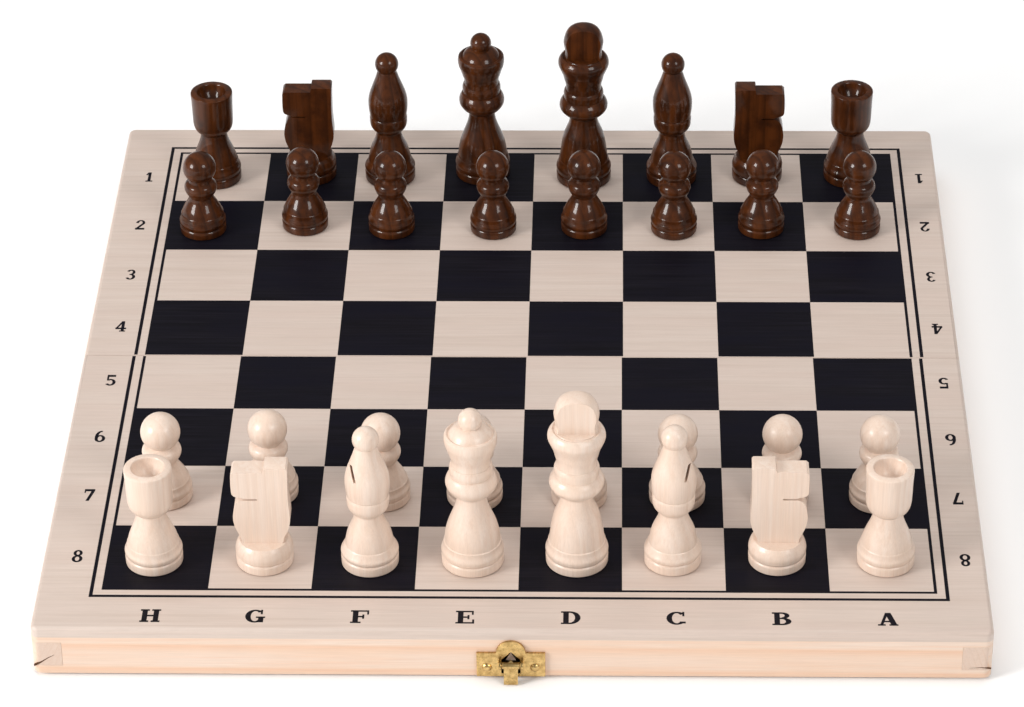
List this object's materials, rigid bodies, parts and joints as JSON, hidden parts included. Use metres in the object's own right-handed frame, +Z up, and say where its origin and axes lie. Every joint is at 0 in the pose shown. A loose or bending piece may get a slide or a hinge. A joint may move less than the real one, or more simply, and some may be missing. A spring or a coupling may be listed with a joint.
{
  "type": "chess set with folding board",
  "caption": "Folding wooden chess box lying open as its printed board, with turned light and dark pieces on their starting squares and a small brass latch.",
  "frame": {"origin": "bottom centre of the open board, level with the underside of the hinge knuckles, which stand 1.3 mm proud of the rims", "axes": "+X right along the fold, +Y away from the latch side, +Z up"},
  "size_m": [0.34, 0.348, 0.0933],
  "materials": {
    "board_ply": "satin, printed with near-black squares and border",
    "rail_pine": "satin lacquered pine",
    "light_piece": "satin cream lacquer",
    "dark_piece": "gloss dark red-brown lacquer",
    "brass": "polished pressed brass"
  },
  "bodies": {
    "rear_half": {"rear_top_panel": "board_ply", "rear_outer_rail": "rail_pine", "rear_middle_rail": "rail_pine", "rear_left_rail": "rail_pine", "rear_right_rail": "rail_pine", "left_hinge_rear_leaf": "brass", "left_hinge_pin": "brass", "right_hinge_rear_leaf": "brass", "right_hinge_pin": "brass", "hinge_screws_rear": "brass", "loop_plate": "brass", "loop_nails": "brass"},
    "front_half": {"front_top_panel": "board_ply", "front_outer_rail": "rail_pine", "front_middle_rail": "rail_pine", "front_left_rail": "rail_pine", "front_right_rail": "rail_pine", "left_hinge_front_leaf": "brass", "right_hinge_front_leaf": "brass", "hinge_screws_front": "brass", "latch_plate": "brass", "latch_lever_pin": "brass", "latch_nails": "brass"},
    "latch_lever": {"latch_lever": "brass"},
    "wire_loop": {"wire_loop": "brass"},
    "light_rook_h8": {"light_rook_h8": "light_piece"},
    "light_knight_g8": {"light_knight_g8": "light_piece"},
    "light_bishop_f8": {"light_bishop_f8": "light_piece"},
    "light_queen_e8": {"light_queen_e8": "light_piece"},
    "light_king_d8": {"light_king_d8": "light_piece"},
    "light_bishop_c8": {"light_bishop_c8": "light_piece"},
    "light_knight_b8": {"light_knight_b8": "light_piece"},
    "light_rook_a8": {"light_rook_a8": "light_piece"},
    "light_pawn_h7": {"light_pawn_h7": "light_piece"},
    "light_pawn_g7": {"light_pawn_g7": "light_piece"},
    "light_pawn_f7": {"light_pawn_f7": "light_piece"},
    "light_pawn_e7": {"light_pawn_e7": "light_piece"},
    "light_pawn_d7": {"light_pawn_d7": "light_piece"},
    "light_pawn_c7": {"light_pawn_c7": "light_piece"},
    "light_pawn_b7": {"light_pawn_b7": "light_piece"},
    "light_pawn_a7": {"light_pawn_a7": "light_piece"},
    "dark_pawn_h2": {"dark_pawn_h2": "dark_piece"},
    "dark_pawn_g2": {"dark_pawn_g2": "dark_piece"},
    "dark_pawn_f2": {"dark_pawn_f2": "dark_piece"},
    "dark_pawn_e2": {"dark_pawn_e2": "dark_piece"},
    "dark_pawn_d2": {"dark_pawn_d2": "dark_piece"},
    "dark_pawn_c2": {"dark_pawn_c2": "dark_piece"},
    "dark_pawn_b2": {"dark_pawn_b2": "dark_piece"},
    "dark_pawn_a2": {"dark_pawn_a2": "dark_piece"},
    "dark_rook_h1": {"dark_rook_h1": "dark_piece"},
    "dark_knight_g1": {"dark_knight_g1": "dark_piece"},
    "dark_bishop_f1": {"dark_bishop_f1": "dark_piece"},
    "dark_queen_e1": {"dark_queen_e1": "dark_piece"},
    "dark_king_d1": {"dark_king_d1": "dark_piece"},
    "dark_bishop_c1": {"dark_bishop_c1": "dark_piece"},
    "dark_knight_b1": {"dark_knight_b1": "dark_piece"},
    "dark_rook_a1": {"dark_rook_a1": "dark_piece"}
  },
  "joints": [
    {"name": "board_fold", "type": "hinge", "parent": "rear_half", "child": "front_half", "pos_m": [0, 0, 0.0012], "axis": [1, 0, 0], "range_deg": [0, 180]},
    {"name": "latch_lever_swing", "type": "hinge", "parent": "front_half", "child": "latch_lever", "pos_m": [0, -0.1726, 0.0078], "axis": [-1, 0, 0], "range_deg": [-8, 150]},
    {"name": "wire_loop_swing", "type": "hinge", "parent": "rear_half", "child": "wire_loop", "pos_m": [0, 0.172, 0.0048], "axis": [-1, 0, 0], "range_deg": [0, 180]},
    {"name": "lift_light_rook_h8", "type": "slide", "parent": "front_half", "child": "light_rook_h8", "axis": [0, 0, 1], "range_m": [0, 0.1]},
    {"name": "lift_light_knight_g8", "type": "slide", "parent": "front_half", "child": "light_knight_g8", "axis": [0, 0, 1], "range_m": [0, 0.1]},
    {"name": "lift_light_bishop_f8", "type": "slide", "parent": "front_half", "child": "light_bishop_f8", "axis": [0, 0, 1], "range_m": [0, 0.1]},
    {"name": "lift_light_queen_e8", "type": "slide", "parent": "front_half", "child": "light_queen_e8", "axis": [0, 0, 1], "range_m": [0, 0.1]},
    {"name": "lift_light_king_d8", "type": "slide", "parent": "front_half", "child": "light_king_d8", "axis": [0, 0, 1], "range_m": [0, 0.1]},
    {"name": "lift_light_bishop_c8", "type": "slide", "parent": "front_half", "child": "light_bishop_c8", "axis": [0, 0, 1], "range_m": [0, 0.1]},
    {"name": "lift_light_knight_b8", "type": "slide", "parent": "front_half", "child": "light_knight_b8", "axis": [0, 0, 1], "range_m": [0, 0.1]},
    {"name": "lift_light_rook_a8", "type": "slide", "parent": "front_half", "child": "light_rook_a8", "axis": [0, 0, 1], "range_m": [0, 0.1]},
    {"name": "lift_light_pawn_h7", "type": "slide", "parent": "front_half", "child": "light_pawn_h7", "axis": [0, 0, 1], "range_m": [0, 0.1]},
    {"name": "lift_light_pawn_g7", "type": "slide", "parent": "front_half", "child": "light_pawn_g7", "axis": [0, 0, 1], "range_m": [0, 0.1]},
    {"name": "lift_light_pawn_f7", "type": "slide", "parent": "front_half", "child": "light_pawn_f7", "axis": [0, 0, 1], "range_m": [0, 0.1]},
    {"name": "lift_light_pawn_e7", "type": "slide", "parent": "front_half", "child": "light_pawn_e7", "axis": [0, 0, 1], "range_m": [0, 0.1]},
    {"name": "lift_light_pawn_d7", "type": "slide", "parent": "front_half", "child": "light_pawn_d7", "axis": [0, 0, 1], "range_m": [0, 0.1]},
    {"name": "lift_light_pawn_c7", "type": "slide", "parent": "front_half", "child": "light_pawn_c7", "axis": [0, 0, 1], "range_m": [0, 0.1]},
    {"name": "lift_light_pawn_b7", "type": "slide", "parent": "front_half", "child": "light_pawn_b7", "axis": [0, 0, 1], "range_m": [0, 0.1]},
    {"name": "lift_light_pawn_a7", "type": "slide", "parent": "front_half", "child": "light_pawn_a7", "axis": [0, 0, 1], "range_m": [0, 0.1]},
    {"name": "lift_dark_pawn_h2", "type": "slide", "parent": "rear_half", "child": "dark_pawn_h2", "axis": [0, 0, 1], "range_m": [0, 0.1]},
    {"name": "lift_dark_pawn_g2", "type": "slide", "parent": "rear_half", "child": "dark_pawn_g2", "axis": [0, 0, 1], "range_m": [0, 0.1]},
    {"name": "lift_dark_pawn_f2", "type": "slide", "parent": "rear_half", "child": "dark_pawn_f2", "axis": [0, 0, 1], "range_m": [0, 0.1]},
    {"name": "lift_dark_pawn_e2", "type": "slide", "parent": "rear_half", "child": "dark_pawn_e2", "axis": [0, 0, 1], "range_m": [0, 0.1]},
    {"name": "lift_dark_pawn_d2", "type": "slide", "parent": "rear_half", "child": "dark_pawn_d2", "axis": [0, 0, 1], "range_m": [0, 0.1]},
    {"name": "lift_dark_pawn_c2", "type": "slide", "parent": "rear_half", "child": "dark_pawn_c2", "axis": [0, 0, 1], "range_m": [0, 0.1]},
    {"name": "lift_dark_pawn_b2", "type": "slide", "parent": "rear_half", "child": "dark_pawn_b2", "axis": [0, 0, 1], "range_m": [0, 0.1]},
    {"name": "lift_dark_pawn_a2", "type": "slide", "parent": "rear_half", "child": "dark_pawn_a2", "axis": [0, 0, 1], "range_m": [0, 0.1]},
    {"name": "lift_dark_rook_h1", "type": "slide", "parent": "rear_half", "child": "dark_rook_h1", "axis": [0, 0, 1], "range_m": [0, 0.1]},
    {"name": "lift_dark_knight_g1", "type": "slide", "parent": "rear_half", "child": "dark_knight_g1", "axis": [0, 0, 1], "range_m": [0, 0.1]},
    {"name": "lift_dark_bishop_f1", "type": "slide", "parent": "rear_half", "child": "dark_bishop_f1", "axis": [0, 0, 1], "range_m": [0, 0.1]},
    {"name": "lift_dark_queen_e1", "type": "slide", "parent": "rear_half", "child": "dark_queen_e1", "axis": [0, 0, 1], "range_m": [0, 0.1]},
    {"name": "lift_dark_king_d1", "type": "slide", "parent": "rear_half", "child": "dark_king_d1", "axis": [0, 0, 1], "range_m": [0, 0.1]},
    {"name": "lift_dark_bishop_c1", "type": "slide", "parent": "rear_half", "child": "dark_bishop_c1", "axis": [0, 0, 1], "range_m": [0, 0.1]},
    {"name": "lift_dark_knight_b1", "type": "slide", "parent": "rear_half", "child": "dark_knight_b1", "axis": [0, 0, 1], "range_m": [0, 0.1]},
    {"name": "lift_dark_rook_a1", "type": "slide", "parent": "rear_half", "child": "dark_rook_a1", "axis": [0, 0, 1], "range_m": [0, 0.1]}
  ]
}
